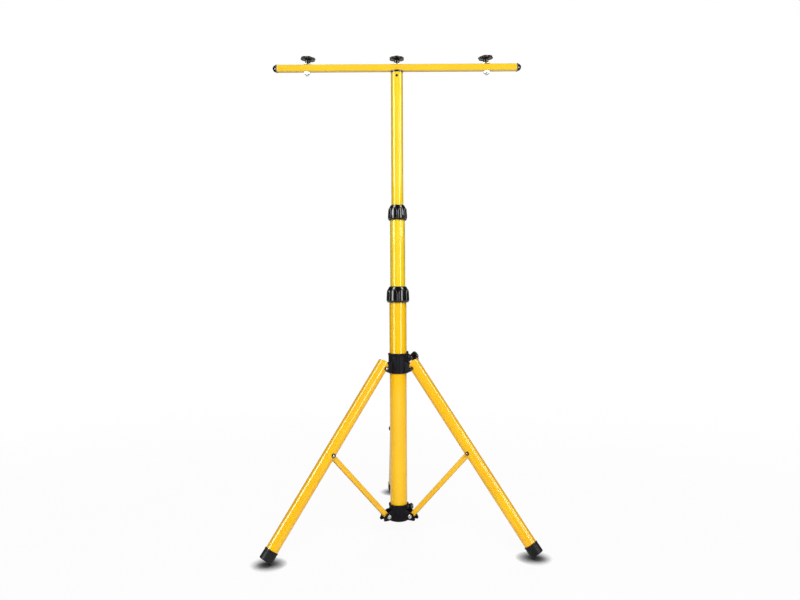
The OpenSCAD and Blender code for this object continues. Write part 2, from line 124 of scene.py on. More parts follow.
PIVOT_R = Vector(JOINTS["left_leg_fold"]["pos_m"][:2]).length
PIVOT_Z = JOINTS["left_leg_fold"]["pos_m"][2]
BASE_R = Vector(JOINTS["left_strut_fold"]["pos_m"][:2]).length
BASE_Z = JOINTS["left_strut_fold"]["pos_m"][2]
JOINT_R = PIVOT_R + JOINT_L * math.sin(LEG_ANGLE) + JOINT_X * math.cos(LEG_ANGLE)
JOINT_Z = PIVOT_Z - JOINT_L * math.cos(LEG_ANGLE) + JOINT_X * math.sin(LEG_ANGLE)
STRUT_L = math.hypot(JOINT_R - BASE_R, JOINT_Z - BASE_Z)
STRUT_ANGLE = math.atan2(JOINT_R - BASE_R, JOINT_Z - BASE_Z)
LEG_L = (PIVOT_Z + (LEG_OFFSET - FOOT_R) * math.sin(LEG_ANGLE)) / math.cos(LEG_ANGLE)


def strut_frame(side):
    """Local +Z points up the strut, -X is its upper side, origin at the base pivot."""
    azimuth = leg_azimuth(side)[0]
    pivot = Vector(JOINTS[side + "_strut_fold"]["pos_m"])
    return Matrix.Translation(pivot) @ Matrix.Rotation(azimuth, 4,
                                                       "Z") @ Matrix.Rotation(STRUT_ANGLE, 4, "Y")


CLAMP_AXIS = Vector(JOINTS["clamp_knob_turn"]["axis"])
CLAMP_AZ = math.atan2(CLAMP_AXIS.y, CLAMP_AXIS.x)
CLAMP_Z = JOINTS["clamp_knob_turn"]["pos_m"][2]


def clamp_frame(height):
    """Local +Z points out of the mast along the clamp's direction."""
    return place((0, 0, height), CLAMP_AXIS)


def station_frame(name):
    """Local +Z points up the station's stud, origin in the middle of the bar."""
    joint = JOINTS[name + "_knob_turn"]
    return place(joint["pos_m"], joint["axis"], (1, 0, 0))


# ---------------------------------------------------------------- materials
class Nodes:
    """Small helper round a material's node tree."""

    def __init__(self, name):
        self.material = bpy.data.materials.new(name)
        self.material.use_nodes = True
        self.tree = self.material.node_tree
        self.shader = self.tree.nodes["Principled BSDF"]
        self.position = self.new("ShaderNodeTexCoord").outputs["Object"]

    def new(self, kind, **values):
        node = self.tree.nodes.new(kind)
        for key, value in values.items():
            setattr(node, key, value)
        return node

    def link(self, output, socket):
        self.tree.links.new(output, socket)

    def noise(self, scale, detail=3.0, rough=0.5, stretch=None):
        node = self.new("ShaderNodeTexNoise")
        node.inputs["Scale"].default_value = scale
        node.inputs["Detail"].default_value = detail
        node.inputs["Roughness"].default_value = rough
        source = self.position
        if stretch:
            mapping = self.new("ShaderNodeMapping")
            mapping.inputs["Scale"].default_value = stretch
            self.link(self.position, mapping.inputs["Vector"])
            source = mapping.outputs["Vector"]
        self.link(source, node.inputs["Vector"])
        return node.outputs["Fac"]

    def ramp(self, factor, low, high):
        node = self.new("ShaderNodeMapRange")
        node.inputs["From Min"].default_value = low
        node.inputs["From Max"].default_value = high
        node.interpolation_type = "SMOOTHSTEP"
        self.link(factor, node.inputs["Value"])
        return node.outputs["Result"]

    def scale(self, factor, low, high):
        node = self.new("ShaderNodeMapRange")
        node.inputs["To Min"].default_value = low
        node.inputs["To Max"].default_value = high
        self.link(factor, node.inputs["Value"])
        return node.outputs["Result"]

    def mix(self, factor, one, two):
        node = self.new("ShaderNodeMix", data_type="RGBA")
        self.link(factor, node.inputs["Factor"])
        for colour, socket in ((one, node.inputs[6]), (two, node.inputs[7])):
            if isinstance(colour, bpy.types.NodeSocket):
                self.link(colour, socket)
            else:
                socket.default_value = (*colour, 1)
        return node.outputs[2]

    def times(self, one, two):
        node = self.new("ShaderNodeMath", operation="MULTIPLY")
        for value, socket in ((one, node.inputs[0]), (two, node.inputs[1])):
            if isinstance(value, bpy.types.NodeSocket):
                self.link(value, socket)
            else:
                socket.default_value = value
        return node.outputs[0]

    def edges(self, low=0.52, high=0.62):
        """High on outer edges of the mesh."""
        return self.ramp(self.new("ShaderNodeNewGeometry").outputs["Pointiness"], low, high)

    def bump(self, height, strength, distance):
        node = self.new("ShaderNodeBump")
        node.inputs["Strength"].default_value = strength
        node.inputs["Distance"].default_value = distance
        self.link(height, node.inputs["Height"])
        self.link(node.outputs["Normal"], self.shader.inputs["Normal"])

    def set(self, **values):
        for key, value in values.items():
            self.shader.inputs[key.replace("_", " ")].default_value = value


def powder_coat(name, colour, deep):
    """Glossy powder coat: faint tone changes, fine darker mottle and paler rubbed edges."""
    n = Nodes(name)
    tone = n.ramp(n.noise(9, 4), 0.35, 0.7)
    mottle = n.ramp(n.noise(160, 3), 0.4, 0.66)
    base = n.mix(tone, colour, deep)
    base = n.mix(n.times(mottle, 0.16), base, tuple(c * 0.9 for c in deep))
    rubbed = n.times(n.edges(0.53, 0.63), n.ramp(n.noise(60, 4), 0.42, 0.6))
    base = n.mix(n.times(rubbed, 0.35), base, (0.9, 0.78, 0.42))
    n.link(base, n.shader.inputs["Base Color"])
    n.link(n.scale(n.noise(40, 5), 0.24, 0.36), n.shader.inputs["Roughness"])
    n.set(Coat_Weight=1.0, Coat_Roughness=0.12, Specular_IOR_Level=0.06)
    return n.material


def moulded_plastic(name, colour, rough, grain, coat=0.0, shine=0.4):
    """Moulded plastic: fine grain, faint flow tone, scuffed edges."""
    n = Nodes(name)
    tone = n.ramp(n.noise(30, 4), 0.35, 0.68)
    base = n.mix(tone, colour, tuple(min(1, c * 1.6 + 0.001) for c in colour))
    scuff = n.times(n.edges(0.53, 0.66), n.ramp(n.noise(240, 4), 0.38, 0.62))
    base = n.mix(n.times(scuff, 0.5), base, tuple(min(1, c * 2.4 + 0.008) for c in colour))
    n.link(base, n.shader.inputs["Base Color"])
    n.link(n.scale(n.noise(85, 5), rough, rough + 0.12), n.shader.inputs["Roughness"])
    n.bump(n.noise(grain, 3), 0.12, 0.0004)
    n.set(Coat_Weight=coat, Coat_Roughness=0.12, Specular_IOR_Level=shine)
    return n.material


def zinc_plate(name, colour, dull):
    """Zinc-plated steel: drawn streaks, cloudy passivation and brighter worn edges."""
    n = Nodes(name)
    cloud = n.ramp(n.noise(120, 4), 0.36, 0.66)
    base = n.mix(cloud, colour, dull)
    worn = n.edges(0.53, 0.64)
    base = n.mix(n.times(worn, 0.6), base, tuple(min(0.9, c * 1.5) for c in colour))
    n.link(base, n.shader.inputs["Base Color"])
    n.link(n.scale(n.noise(300, 4, 0.6, (1, 1, 7)), 0.18, 0.42), n.shader.inputs["Roughness"])
    n.bump(n.noise(1400, 2, 0.5, (1, 1, 8)), 0.08, 0.0003)
    n.set(Metallic=1.0)
    return n.material


# One yellow powder coat in five copies: each part's colour is shifted lighter, darker or more
# orange to paint in the light and shade that part gets, the mast yellower and the outer tube, legs
# and struts more orange. This is painted light, not different paints.
BAR_YELLOW = powder_coat("yellow powder coat, crossbar, painted-light copy", (0.86, 0.54, 0.010), (0.83, 0.50, 0.009))
YELLOW = powder_coat("yellow powder coat, mast, painted-light copy", (0.88, 0.62, 0.010), (0.85, 0.57, 0.008))
OUTER_YELLOW = powder_coat("yellow powder coat, outer tube, painted-light copy", (0.95, 0.56, 0.003),
                           (0.93, 0.51, 0.002))
LEG_YELLOW = powder_coat("yellow powder coat, legs, painted-light copy", (0.94, 0.53, 0.003), (0.92, 0.47, 0.002))
STRUT_YELLOW = powder_coat("yellow powder coat, struts, painted-light copy", (0.90, 0.52, 0.004), (0.87, 0.46, 0.003))
BLACK = moulded_plastic("black moulded plastic", (0.0024, 0.0024, 0.003), 0.13, 700, 1.0, 0.1)
MATT_BLACK = moulded_plastic("black moulded plastic, collars", (0.003, 0.003, 0.0055), 0.4, 500,
                             0.0, 0.16)
RUBBER = moulded_plastic("foot cap plastic", (0.007, 0.0075, 0.007), 0.4, 420, 0.05, 0.15)
GREY = moulded_plastic("grey nylon", (0.3, 0.3, 0.31), 0.42, 500)
ZINC = zinc_plate("zinc plated steel", (0.8, 0.79, 0.77), (0.64, 0.64, 0.62))
# Dark brown steel: a blackened finish on the pivot bolts, nuts and plug screw; on the joint bolts
# its dark brown is also painted shade for the shadowed ring round the rivet head.
DARK_STEEL = zinc_plate("dark brown steel, blackened and painted shade", (0.1, 0.07, 0.055), (0.05, 0.04, 0.035))
# Salmon metal for the disc in the joint bolt heads: a painted reflection of the surrounding yellow
# paint.
PAINTED_REFLECTION_METAL = zinc_plate("painted reflection, joint bolt centre", (0.85, 0.6, 0.42), (0.7, 0.48, 0.34))
FINISH = {
    "yellow_paint": BAR_YELLOW, "black_plastic": BLACK, "foot_rubber": RUBBER,
    "grey_plastic": GREY, "zinc_steel": ZINC,
}


# ---------------------------------------------------------------- mesh tools
def smooth_mesh(mesh, angle=32):
    """Smooth shading with sharp edges only where faces turn more than angle degrees."""
    for polygon in mesh.polygons:
        polygon.use_smooth = True
    mesh.set_sharp_from_angle(angle=math.radians(angle))


def add_piece(name, bm, body, material, nodes, matrix=MAST, angle=32):
    """Turns a bmesh into a piece that rides on a body and stands for CAD nodes."""
    bmesh.ops.remove_doubles(bm, verts=bm.verts, dist=1e-7)
    bmesh.ops.recalc_face_normals(bm, faces=bm.faces)
    bm.transform(matrix)
    mesh = bpy.data.meshes.new(name)
    bm.to_mesh(mesh)
    bm.free()
    smooth_mesh(mesh, angle)
    mesh.materials.append(material)
    piece = bpy.data.objects.new(name, mesh)
    bpy.context.scene.collection.objects.link(piece)
    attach(piece, body)
    if nodes:
        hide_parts(*nodes)
    return piece


def bevel(piece, width, segments=3, angle=32):
    """Rounds the sharp edges of a piece."""
    modifier = piece.modifiers.new("edges", "BEVEL")
    modifier.width = width
    modifier.segments = segments
    modifier.limit_method = "ANGLE"
    modifier.angle_limit = math.radians(angle)
    modifier.harden_normals = False
    return piece


def rounded(points, radius, steps=5):
    """Open or closed outline with each inner corner replaced by an arc.

    A point may carry its own radius.
    """
    out = [points[0][:2]]
    for before, corner, after in zip(points, points[1:], points[2:]):
        size = corner[2] if len(corner) > 2 else radius
        b, c, a = Vector(before[:2]), Vector(corner[:2]), Vector(after[:2])
        to_b, to_a = (b - c), (a - c)
        turn = to_b.angle(to_a)
        if size <= 0 or turn > math.pi - 0.01:
            out.append(tuple(c))
            continue
        reach = min(size / math.tan(turn / 2), 0.49 * to_b.length, 0.49 * to_a.length)
        start, end = c + to_b.normalized() * reach, c + to_a.normalized() * reach
        for i in range(steps + 1):
            t = i / steps
            out.append(tuple(start * (1 - t) ** 2 + c * 2 * t * (1 - t) + end * t ** 2))
    out.append(points[-1][:2])
    return out


def lathe(bm, profile, steps=64, shape=None, closed=False):
    """Revolves (radius, height) points about Z.

    shape(radius, height, angle) may change a point's radius.
    """
    rings = []
    for radius, height in profile:
        if radius < 1e-9:
            rings.append([bm.verts.new((0, 0, height))])
            continue
        ring = []
        for i in range(steps):
            angle = 2 * math.pi * i / steps
            r = shape(radius, height, angle) if shape else radius
            ring.append(bm.verts.new((r * math.cos(angle), r * math.sin(angle), height)))
        rings.append(ring)
    pairs = list(zip(rings, rings[1:]))
    if closed:
        pairs.append((rings[-1], rings[0]))
    for low, high in pairs:
        for i in range(steps):
            j = (i + 1) % steps
            corners = [low[i % len(low)], low[j % len(low)], high[j % len(high)],
                       high[i % len(high)]]
            unique = list(dict.fromkeys(corners))
            if len(unique) > 2:
                bm.faces.new(unique)
    return bm


def close_loop(points):
    """A closed lathe profile: rounds every corner, the first one too."""
    middle = tuple((a + b) / 2 for a, b in zip(points[-1][:2], points[0][:2]))
    return [middle, *points, middle]


def ring_profile(r_in, r_out, z0, z1, radius):
    """Closed profile of a plain ring with rounded edges."""
    loop = close_loop([(r_in, z0), (r_out, z0), (r_out, z1), (r_in, z1)])
    return rounded(loop, radius, 3)[:-1]


def ring_piece(name, r_in, r_out, z0, z1, body, material, nodes, radius=0.3 * MM, matrix=MAST,
               steps=96):
    bm = lathe(bmesh.new(), ring_profile(r_in, r_out, z0, z1, radius), steps, closed=True)
    return add_piece(name, bm, body, material, nodes, matrix)


def hexagon(radius, across_flats, angle):
    """Radius of a hexagon at an angle, or of the circle if that is smaller."""
    sector = (angle + math.pi / 6) % (math.pi / 3) - math.pi / 6
    return min(radius, across_flats / 2 / math.cos(sector))


def sweep(bm, outer, inner, low, high, rows=1):
    """Open C or U section, with low(x) and high(x) its two ends.

    outer and inner are paired (x, y) rows.
    """
    section = [*outer, *reversed(inner)]
    rings = []
    for row in range(rows + 1):
        t = row / rows
        rings.append([bm.verts.new((x, y, low(x) * (1 - t) + high(x) * t)) for x, y in section])
    count = len(section)
    for a, b in zip(rings, rings[1:]):
        for i in range(count):
            j = (i + 1) % count
            bm.faces.new((a[i], a[j], b[j], b[i]))
    for ring, flip in ((rings[0], True), (rings[-1], False)):
        for i in range(len(outer) - 1):
            quad = [ring[i], ring[i + 1], ring[count - 2 - i], ring[count - 1 - i]]
            bm.faces.new(quad[::-1] if flip else quad)
    return bm


# ---------------------------------------------------------------- mast
def build_tubes():
    for name, radius, body, paint in (
        ("outer_tube", OUTER_R, "mast_base", OUTER_YELLOW),
        ("middle_tube", MIDDLE_R, "middle_section", YELLOW),
        ("top_tube", TOP_R, "top_section", YELLOW),
    ):
        z0, z1 = span(name)
        ring_piece(name + "_drawn", radius - WALL, radius, z0, z1, body, paint, [name], 0.5 * MM,
                   steps=128)


def lock_nut(name, node, body, r_low, r_high, r_top, hole, bore):
    """Twist ring: eight raised, arched grip pads round a cone-topped ring."""
    z0, z1 = span(node)
    height = z1 - z0
    shoulder = z1 - 9 * MM
    pads = 8
    pad_rise = 1.1 * MM
    pad_half = math.radians(19)
    pad_top = shoulder + 1.5 * MM
    pad_low = z0 + 3.5 * MM

    def shape(radius, z, angle):
        if radius < r_top - 1 * MM or z < z0 + 1 * MM:
            return radius
        step = 2 * math.pi / pads
        local = (angle - math.radians(2)) % step
        local = abs(local - step / 2)
        below = 0.45 * height
        along = max(0.0, (z - pad_low - below) / (pad_top - pad_low - below))
        arch = math.sqrt(max(0.0, 1 - along ** 2))
        edge = pad_half * arch - local
        side = min(1.0, max(0.0, edge / math.radians(3.2)))
        foot = min(1.0, max(0.0, (z - pad_low + 1.5 * MM) / (1.5 * MM)))
        rise = side * side * (3 - 2 * side) * foot
        return radius - pad_rise * (1 - rise)

    outside = rounded([
        (bore, z0 + 1 * MM), (bore + 1 * MM, z0), (r_low - 1.5 * MM, z0, 1 * MM),
        (r_low, z0 + 4 * MM, 3.5 * MM),
        (r_low - 0.1 * MM, z0 + height * 0.3), (r_high, shoulder, 2.5 * MM),
        (r_top + 0.6 * MM, z1 - 1 * MM, 1 * MM),
        (r_top - 0.6 * MM, z1, 0.6 * MM), (hole, z1, 0.3 * MM), (hole, z1 - 2.5 * MM),
    ], 0.8 * MM, 6)
    wall = []
    for a, b in zip(outside, outside[1:]):
        parts = max(1, int((Vector(b) - Vector(a)).length / (0.8 * MM)))
        wall += [tuple(Vector(a).lerp(Vector(b), k / parts)) for k in range(parts)]
    inside = [(hole, z1 - 2.5 * MM), (hole + 3 * MM, z1 - 12 * MM), (bore, z1 - 13 * MM)]
    bm = lathe(bmesh.new(), wall + inside, 256, shape, closed=True)
    return add_piece(name, bm, body, BLACK, [node], angle=50)


def build_locks():
    low_r, top_r = across("lower_lock_nut"), OUTER_R + 0.8 * MM
    lock_nut("lower_twist_lock", "lower_lock_nut", "lower_lock", low_r, low_r - 1 * MM, top_r,
             MIDDLE_R + 0.4 * MM, OUTER_R + 3.25 * MM)
    low_r = across("upper_lock_nut")
    lock_nut("upper_twist_lock", "upper_lock_nut", "upper_lock", low_r, low_r - 1.2 * MM, 16.8 * MM,
             TOP_R + 0.4 * MM, MIDDLE_R + 2.65 * MM)


# ---------------------------------------------------------------- fasteners
def button_bolt(name, body, node_matrix, head_z, shank_from, head_r=5 * MM, head_h=3 * MM, nodes=(),
                metal=ZINC, shank=3 * MM):
    """Domed head with a hexagon socket, and its plain shank."""
    socket = 0.42 * head_r

    def shape(radius, z, angle):
        if z > head_z + 0.2 * MM and radius < socket * 1.2:
            return hexagon(radius, 2 * socket * 0.92, angle)
        return radius

    profile = rounded([
        (0, shank_from), (shank, shank_from, 0.3 * MM), (shank, head_z, 0),
        (head_r, head_z, 0.3 * MM),
        (head_r * 0.96, head_z + head_h * 0.5, 1.2 * MM), (head_r * 0.62, head_z + head_h, 1 * MM),
        (socket * 1.1, head_z + head_h, 0.15 * MM), (socket, head_z + head_h * 0.4, 0.1 * MM),
        (0, head_z + head_h * 0.4),
    ], 0.3 * MM, 4)
    bm = lathe(bmesh.new(), profile, 48, shape)
    return add_piece(name, bm, body, metal, list(nodes), node_matrix)


def painted_reflection_disc(name, body, matrix, head_z):
    """Salmon disc in the socket of a dark bolt head: a painted reflection of the yellow paint round
    it, not a pressed part.
    """
    profile = rounded([(0, head_z + 0.5 * MM), (1.9 * MM, head_z + 0.5 * MM, 0.1 * MM),
                       (1.6 * MM, head_z + 2.1 * MM, 0.5 * MM), (0, head_z + 2.3 * MM)], 0.3 * MM,
                      4)
    return add_piece(name, lathe(bmesh.new(), profile, 32), body, PAINTED_REFLECTION_METAL, [], matrix)


def hex_nut(name, body, matrix, z0, height, flats, hole, nodes=(), metal=ZINC):
    """Chamfered hexagon nut about local Z."""
    corner = flats / math.sqrt(3)
    chamfer = 0.14 * flats

    def shape(radius, z, angle):
        return hexagon(radius, flats, angle) if radius > hole * 1.2 else radius

    profile = [(hole, z0 + 0.4 * MM), (hole + 0.5 * MM, z0)]
    steps = 5
    for k in range(steps + 1):
        t = k / steps
        profile.append((flats / 2 - 0.3 * MM + (corner - flats / 2 + 0.3 * MM) * t,
                        z0 + chamfer * t * t))
    for k in range(steps + 1):
        t = 1 - k / steps
        profile.append((flats / 2 - 0.3 * MM + (corner - flats / 2 + 0.3 * MM) * t,
                        z0 + height - chamfer * t * t))
    profile += [(hole + 0.5 * MM, z0 + height), (hole, z0 + height - 0.4 * MM)]
    bm = lathe(bmesh.new(), profile, 96, shape, closed=True)
    return add_piece(name, bm, body, metal, list(nodes), matrix, 20)


def threaded_rod(name, body, matrix, z0, z1, radius, nodes=()):
    """Stud with a real helical thread and chamfered ends."""
    depth = 0.6 * MM
    chamfer = 1 * MM

    def shape(r, z, angle):
        turn = (z / PITCH - angle / (2 * math.pi)) % 1
        groove = depth * (1 - abs(2 * turn - 1))
        taper = max(0, chamfer - (z - z0), chamfer - (z1 - z))
        return r - max(groove, taper)

    rows = int((z1 - z0) / (PITCH / 6))
    profile = [(0, z0)] + [(radius, z0 + (z1 - z0) * k / rows) for k in range(rows + 1)] + [(0, z1)]
    bm = lathe(bmesh.new(), profile, 24, shape)
    return add_piece(name, bm, body, ZINC, list(nodes), matrix, 60)


def washer(name, body, matrix, z0, nodes):
    return ring_piece(name, 4.05 * MM, 9 * MM, z0, z0 + 1.5 * MM, body, ZINC, nodes, 0.3 * MM,
                      matrix, 64)


def star_knob(name, body, matrix, z0, radius, hub_r, hub_h, rim_h, nodes, turn=0):
    """Six-lobed knob on a tapered hub, with a dished top and a round cap."""
    lobes = 6
    depth = 0.17
    z_rim = z0 + hub_h
    z_top = z_rim + rim_h

    def shape(r, z, angle):
        weight = max(0.0, min(1.0, (r - hub_r * 1.05) / (radius - hub_r * 1.05)))
        wave = 0.5 - 0.5 * math.cos(lobes * (angle - math.radians(turn)))
        return r * (1 - depth * weight * (wave ** 2.2))

    profile = rounded([
        (0, z0 + 0.5 * MM), (4.1 * MM, z0 + 0.5 * MM, 0.1 * MM), (4.4 * MM, z0, 0.2 * MM),
        (hub_r * 0.86, z0, 0.6 * MM),
        (hub_r, z_rim - 0.8 * MM, 2 * MM), (radius - 2.6 * MM, z_rim + 1.2 * MM, 1.6 * MM),
        (radius, z_rim + rim_h * 0.4, 1.8 * MM), (radius, z_top - rim_h * 0.28, 2 * MM),
        (radius - 2.2 * MM, z_top, 1.8 * MM), (radius * 0.7, z_top, 0.8 * MM),
        (radius * 0.62, z_top - 1.4 * MM, 0.8 * MM),
        (radius * 0.42, z_top - 1.6 * MM, 0.5 * MM), (radius * 0.38, z_top - 0.3 * MM, 0.5 * MM),
        (0, z_top),
    ], 0.6 * MM, 5)
    bm = lathe(bmesh.new(), profile, 144, shape)
    return add_piece(name, bm, body, BLACK, nodes, matrix, 50)


# ---------------------------------------------------------------- crossbar
def end_cap(name, node, side):
    """Square plug head with a rounded tab, drilled with a cable eye."""
    half = BAR_W / 2 + 0.4 * MM
    tab = 6 * MM
    length = 10 * MM
    eye_x, eye_r = 4.9 * MM, 1.8 * MM
    steps = 48
    bm = bmesh.new()
    loops = []
    for y in (-tab / 2, tab / 2):
        outer, inner = [], []
        for i in range(steps):
            angle = 2 * math.pi * i / steps
            direction = Vector((math.cos(angle), math.sin(angle)))
            reach = tab_reach(eye_x, direction, half, length)
            outer.append(bm.verts.new((eye_x + direction.x * reach, y, direction.y * reach)))
            inner.append(bm.verts.new((eye_x + direction.x * eye_r, y, direction.y * eye_r)))
        loops.append((outer, inner))
    for i in range(steps):
        j = (i + 1) % steps
        for outer, inner in loops:
            bm.faces.new((outer[i], outer[j], inner[j], inner[i]))
        for k in (0, 1):
            bm.faces.new((loops[0][k][i], loops[0][k][j], loops[1][k][j], loops[1][k][i]))
    x0, x1 = -0.4 * MM, 2.5 * MM
    bmesh.ops.create_cube(bm, size=1, matrix=Matrix.Translation(((x0 + x1) / 2, 0, 0))
                          @ Matrix.Diagonal((x1 - x0, 2 * half, 2 * half, 1)))
    end = Matrix.Translation((side * BAR_L / 2, 0, BAR_Z0 + BAR_W / 2)) @ Matrix.Diagonal((side, 1,
                                                                                           1, 1))
    return bevel(add_piece(name, bm, "crossbar", BLACK, [node], end), 0.9 * MM, 4)


def rounded_square(half, radius, steps=6):
    """Closed (y, z) outline of a square with rounded corners."""
    points = []
    for quarter in range(4):
        turn = math.pi / 2 * quarter
        centre = Vector((half - radius, half - radius))
        for i in range(steps + 1):
            angle = math.pi / 2 * i / steps
            p = centre + Vector((math.cos(angle), math.sin(angle))) * radius
            points.append((p.x * math.cos(turn) - p.y * math.sin(turn),
                           p.x * math.sin(turn) + p.y * math.cos(turn)))
    return points


def build_bar_tube():
    """Square tube with rolled corners, a long weld-free skin inside and out."""
    bm = bmesh.new()
    half = BAR_W / 2
    rows = 96
    skins = []
    for outline in (rounded_square(half, 2 * MM), rounded_square(half - WALL, 0.5 * MM)):
        rings = []
        for row in range(rows + 1):
            x = BAR_L * (row / rows - 0.5)
            rings.append([bm.verts.new((x, y, BAR_Z0 + half + z)) for y, z in outline])
        for a, b in zip(rings, rings[1:]):
            for i in range(len(a)):
                j = (i + 1) % len(a)
                bm.faces.new((a[i], a[j], b[j], b[i]))
        skins.append(rings)
    for end in (0, -1):
        a, b = skins[0][end], skins[1][end]
        for i in range(len(a)):
            j = (i + 1) % len(a)
            bm.faces.new((a[i], a[j], b[j], b[i]))
    return add_piece("crossbar_tube_drawn", bm, "crossbar", BAR_YELLOW, ["crossbar_tube"])


def build_top_plug():
    """Flanged plug under the bar, and the small screw that holds it."""
    z0, z1 = span("top_tube")[1], span("top_plug")[1]
    low = span("top_plug")[0]
    r_in, r_tube, r_out = 4.1 * MM, TOP_R - WALL, TOP_R + 0.4 * MM
    loop = close_loop([(r_in, low), (r_tube, low), (r_tube, z0, 0), (r_out, z0, 0.4 * MM),
                       (r_out, z1, 0.8 * MM), (r_in, z1)])
    bm = lathe(bmesh.new(), rounded(loop, 0.4 * MM, 4)[:-1], 96, closed=True)
    add_piece("top_plug_moulding", bm, "top_section", BLACK, ["top_plug"])
    at = place((0, -TOP_R, z0 - 9 * MM), (0, -1, 0))
    button_bolt("plug_button_screw", "top_section", at, -0.3 * MM, -6.5 * MM, 3.2 * MM, 1.8 * MM,
                ["plug_screw"], DARK_STEEL, 2 * MM)


def tab_reach(eye_x, direction, half, length):
    """Distance from the eye to the tab's outline: a half round in front, straight at the back."""
    best = 1.0
    centre = length - half
    b = direction.x * (eye_x - centre)
    c = (eye_x - centre) ** 2 - half ** 2
    best = min(best, -b + math.sqrt(b * b - c))
    if direction.x < 0:
        best = min(best, eye_x / -direction.x)
    return best


def build_crossbar():
    build_bar_tube()
    build_top_plug()
    end_cap("left_end_cap", "end_cap_left", -1)
    end_cap("right_end_cap", "end_cap_right", 1)
    nut_bodies = []
    for name in STATIONS:
        at = station_frame(name)
        seat_z = seat_height(at)
        washer(name + "_washer", name + "_seat", at, seat_z, ["washer_" + name])
        star_knob(name + "_star_knob", name + "_knob", at, seat_z + 1.5 * MM, 18 * MM, 6.5 * MM,
                  9 * MM, 6 * MM,
                  ["knob_" + name], KNOB_TURN[name])
        stud_low = -BAR_W / 2 - (24 * MM if name == "centre" else 9.5 * MM)
        body = "top_section" if name == "centre" else "crossbar"
        threaded_rod(name + "_stud", body, at, stud_low, BAR_W / 2 + 13 * MM, 4 * MM,
                     ["stud_" + name])
        if name != "centre":
            nut_bodies.append(at)
    drop = 13 / math.sqrt(3) * math.sin(math.radians(4)) * MM
    for label, at in zip(("left", "right"), nut_bodies):
        z0 = -BAR_W / 2 - drop - 5.1 * MM
        hex_nut(label + "_station_nut", "crossbar", at, z0, 5 * MM, 13 * MM, 3.9 * MM,
                ["station_nuts"])


def seat_height(matrix):
    """Height of a leaning washer's seat over the bar's axis, from the station's lean."""
    lean = abs(math.asin(max(-1.0, min(1.0, matrix.col[2][0]))))
    return BAR_W / 2 + WASHER_R * math.sin(lean)


# ---------------------------------------------------------------- legs and struts
def leg_section():
    """Paired outer and inner rows of the rolled C, from one lip round the back to the other."""
    gap = math.asin(LEG_SLOT / 2 / LEG_R)
    steps = 56
    outer, inner = [], []
    for i in range(steps + 1):
        angle = (math.pi - gap) * (1 - 2 * i / steps)
        outer.append((LEG_OFFSET + LEG_R * math.cos(angle), LEG_R * math.sin(angle)))
        r = LEG_R - LEG_WALL
        limit = math.pi - math.asin(LEG_SLOT / 2 / r)
        angle = limit * (1 - 2 * i / steps)
        inner.append((LEG_OFFSET + r * math.cos(angle), r * math.sin(angle)))
    return outer, inner


def build_leg(side):
    body = side + "_leg"
    at = leg_frame(side)
    outer, inner = leg_section()
    nose = 8.8 * MM
    corner = Vector((9 * MM, 15 * MM))
    touch = math.atan2(corner.y, corner.x) + math.acos(nose / corner.length)
    tangent = Vector((nose * math.cos(touch), nose * math.sin(touch)))

    def top(x):
        if x >= corner.x:
            return corner.y - 0.2 * (x - corner.x)
        if x >= tangent.x:
            return tangent.y + (corner.y - tangent.y) * (x - tangent.x) / (corner.x - tangent.x)
        return math.sqrt(max(0.0, nose ** 2 - x ** 2))

    bottom = -LEG_L + FOOT_L - FOOT_GROOVE + 0.1 * MM
    bm = sweep(bmesh.new(), outer, inner, lambda x: bottom, top, 6)
    piece = add_piece(side + "_leg_profile", bm, body, LEG_YELLOW, ["leg_" + side], at)
    bevel(piece, 0.35 * MM, 2, 40)
    build_foot(side, at)
    out = Matrix.Translation((JOINT_X, 0, -JOINT_L)) @ Matrix.Rotation(math.pi / 2, 4, "X")
    head_z = LEG_R + 0.1 * MM
    button_bolt(side + "_joint_bolt", body, at @ out, head_z, LEG_R - LEG_WALL - 0.6 * MM, 4.7 * MM,
                2.6 * MM,
                ["joint_bolt_" + side], DARK_STEEL)
    # Painted reflection: a salmon disc set in the joint bolt's socket.
    painted_reflection_disc(side + "_joint_bolt_reflection_disc", body, at @ out, head_z)
    out = Matrix.Translation((JOINT_X, 0, -JOINT_L)) @ Matrix.Rotation(-math.pi / 2, 4, "X")
    hex_nut(side + "_joint_nut", body, at @ out, head_z, 3 * MM, 9.2 * MM, 2.9 * MM,
            ["joint_nut_" + side],
            DARK_STEEL)
    threaded_rod(side + "_joint_bolt_end", body, at @ out, LEG_R - LEG_WALL - 0.5 * MM,
                 head_z + 4 * MM, 3 * MM)


def build_foot(side, at):
    """Moulded cap: rounded heel, a shallow band under the rim and a plug inside the leg."""
    r, length = FOOT_R, FOOT_L
    profile = rounded([
        (0, 0.4 * MM), (r * 0.7, 0.4 * MM, 1 * MM), (r * 0.78, 0, 0.3 * MM),
        (r - 0.05 * MM, 0, 1.4 * MM), (r, 3 * MM, 2 * MM),
        (r - 0.25 * MM, length - 6.5 * MM, 0.3 * MM), (r - 0.8 * MM, length - 6 * MM, 0.3 * MM),
        (r - 0.8 * MM, length - 5 * MM, 0.3 * MM), (r - 0.1 * MM, length - 4.5 * MM, 0.5 * MM),
        (r - 0.1 * MM, length, 0.9 * MM), (LEG_R + 0.05 * MM, length, 0.3 * MM),
        (LEG_R + 0.05 * MM, length - FOOT_GROOVE, 0),
        (LEG_R - LEG_WALL - 0.15 * MM, length - FOOT_GROOVE, 0),
        (LEG_R - LEG_WALL - 0.15 * MM, length - 0.5 * MM, 0.5 * MM), (0, length - 0.5 * MM),
    ], 0.4 * MM, 5)
    bm = lathe(bmesh.new(), profile, 96)
    add_piece(side + "_foot_cap", bm, side + "_leg", RUBBER, ["foot_" + side],
              at @ Matrix.Translation((LEG_OFFSET, 0, -LEG_L)))


